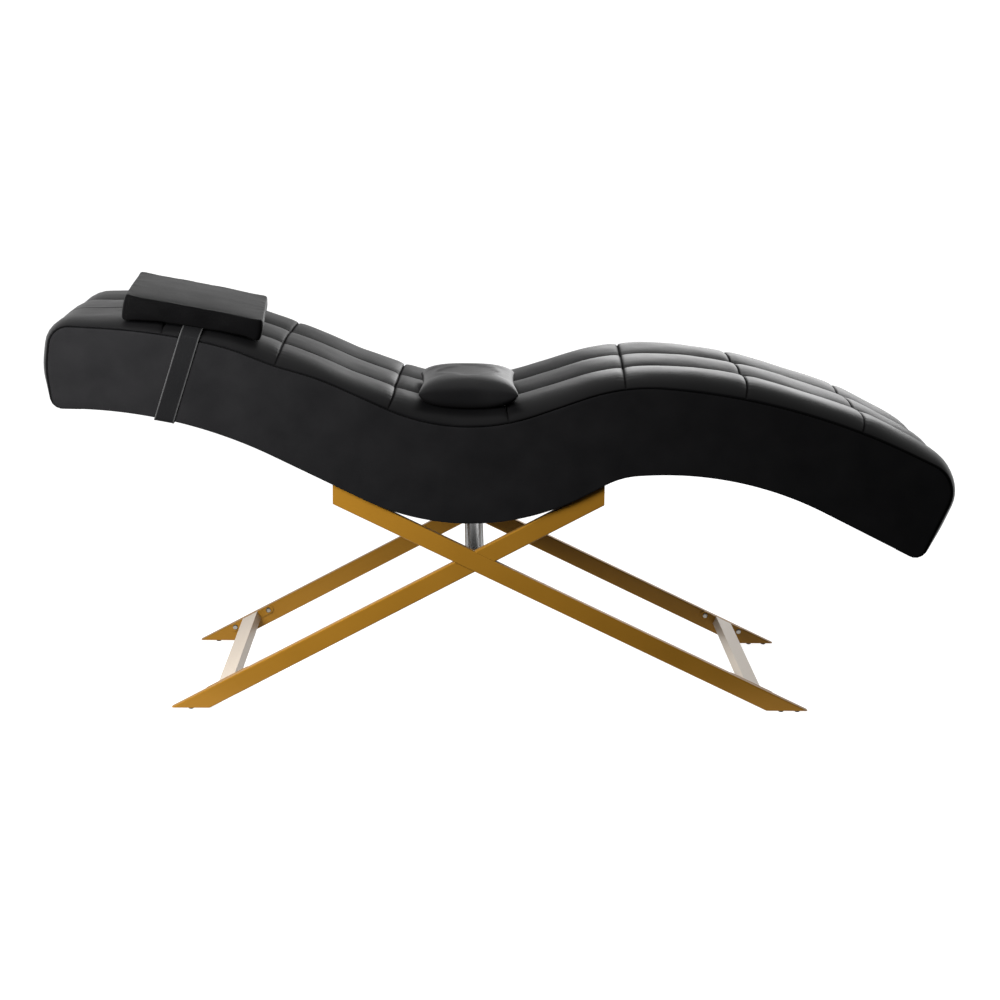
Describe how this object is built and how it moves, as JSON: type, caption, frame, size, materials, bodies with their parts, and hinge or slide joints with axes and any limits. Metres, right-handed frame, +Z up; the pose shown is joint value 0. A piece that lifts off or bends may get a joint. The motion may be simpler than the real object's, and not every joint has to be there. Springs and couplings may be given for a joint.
{
  "type": "lash chair",
  "caption": "Wave-shaped fixed lounge with a quilted black leatherette top on a gold crossed-bar base, with a strapped head pillow and a loose lumbar pillow.",
  "frame": {"origin": "on the floor under the middle of the box round the whole chair", "axes": "+X along the chair from the head end to the foot end, +Y across it, +Z up"},
  "size_m": [1.8575, 0.5738, 0.8667],
  "materials": {
    "black_leatherette": "satin grained leatherette",
    "black_strap": "satin leatherette band with stitched hems",
    "gold_metal": "satin gold lacquer on steel tube",
    "polished_metal": "polished pale steel",
    "dark_chrome": "dark polished chrome",
    "dark_rail": "matt black paint",
    "bright_hardware": "zinc-plated steel",
    "glide_plastic": "matt black plastic",
    "dust_cloth": "black non-woven cloth",
    "plywood": "raw plywood and pine",
    "foam": "upholstery foam"
  },
  "bodies": {
    "chair": {"arm_end_caps": "gold_metal", "bottom_cover": "dust_cloth", "center_tube": "dark_chrome", "crossbar_screws": "bright_hardware", "deck_battens": "plywood", "deck_board": "plywood", "far_long_bar": "gold_metal", "far_lower_leg": "gold_metal", "far_side_cover": "black_leatherette", "far_side_rib": "plywood", "far_upper_arm": "gold_metal", "foot_crossbar_plates": "gold_metal", "foot_end_board": "plywood", "foot_end_caps": "gold_metal", "foot_floor_crossbar": "polished_metal", "foot_mount_batten": "plywood", "foot_seat_rail": "dark_rail", "glides": "glide_plastic", "head_crossbar_plates": "gold_metal", "head_end_board": "plywood", "head_floor_crossbar": "polished_metal", "head_mount_batten": "plywood", "head_seat_rail": "dark_rail", "near_long_bar": "gold_metal", "near_lower_leg": "gold_metal", "near_side_cover": "black_leatherette", "near_side_rib": "plywood", "near_upper_arm": "gold_metal", "quilted_cover": "black_leatherette", "seat_bolts": "bright_hardware", "seat_foam": "foam", "tee_nuts": "bright_hardware"},
    "head_pillow": {"head_pillow_cover": "black_leatherette", "head_pillow_foam": "foam", "head_strap": "black_strap"},
    "lumbar_pillow": {"lumbar_cover": "black_leatherette", "lumbar_filling": "foam"}
  },
  "joints": [
    {"name": "head_pillow_slide", "type": "slide", "parent": "chair", "child": "head_pillow", "axis": [0.9841, 0, -0.1777], "range_m": [-0.03, 0.03]},
    {"name": "lumbar_pillow_lift", "type": "slide", "parent": "chair", "child": "lumbar_pillow", "axis": [0, 0, 1], "range_m": [0, 0.2]}
  ]
}
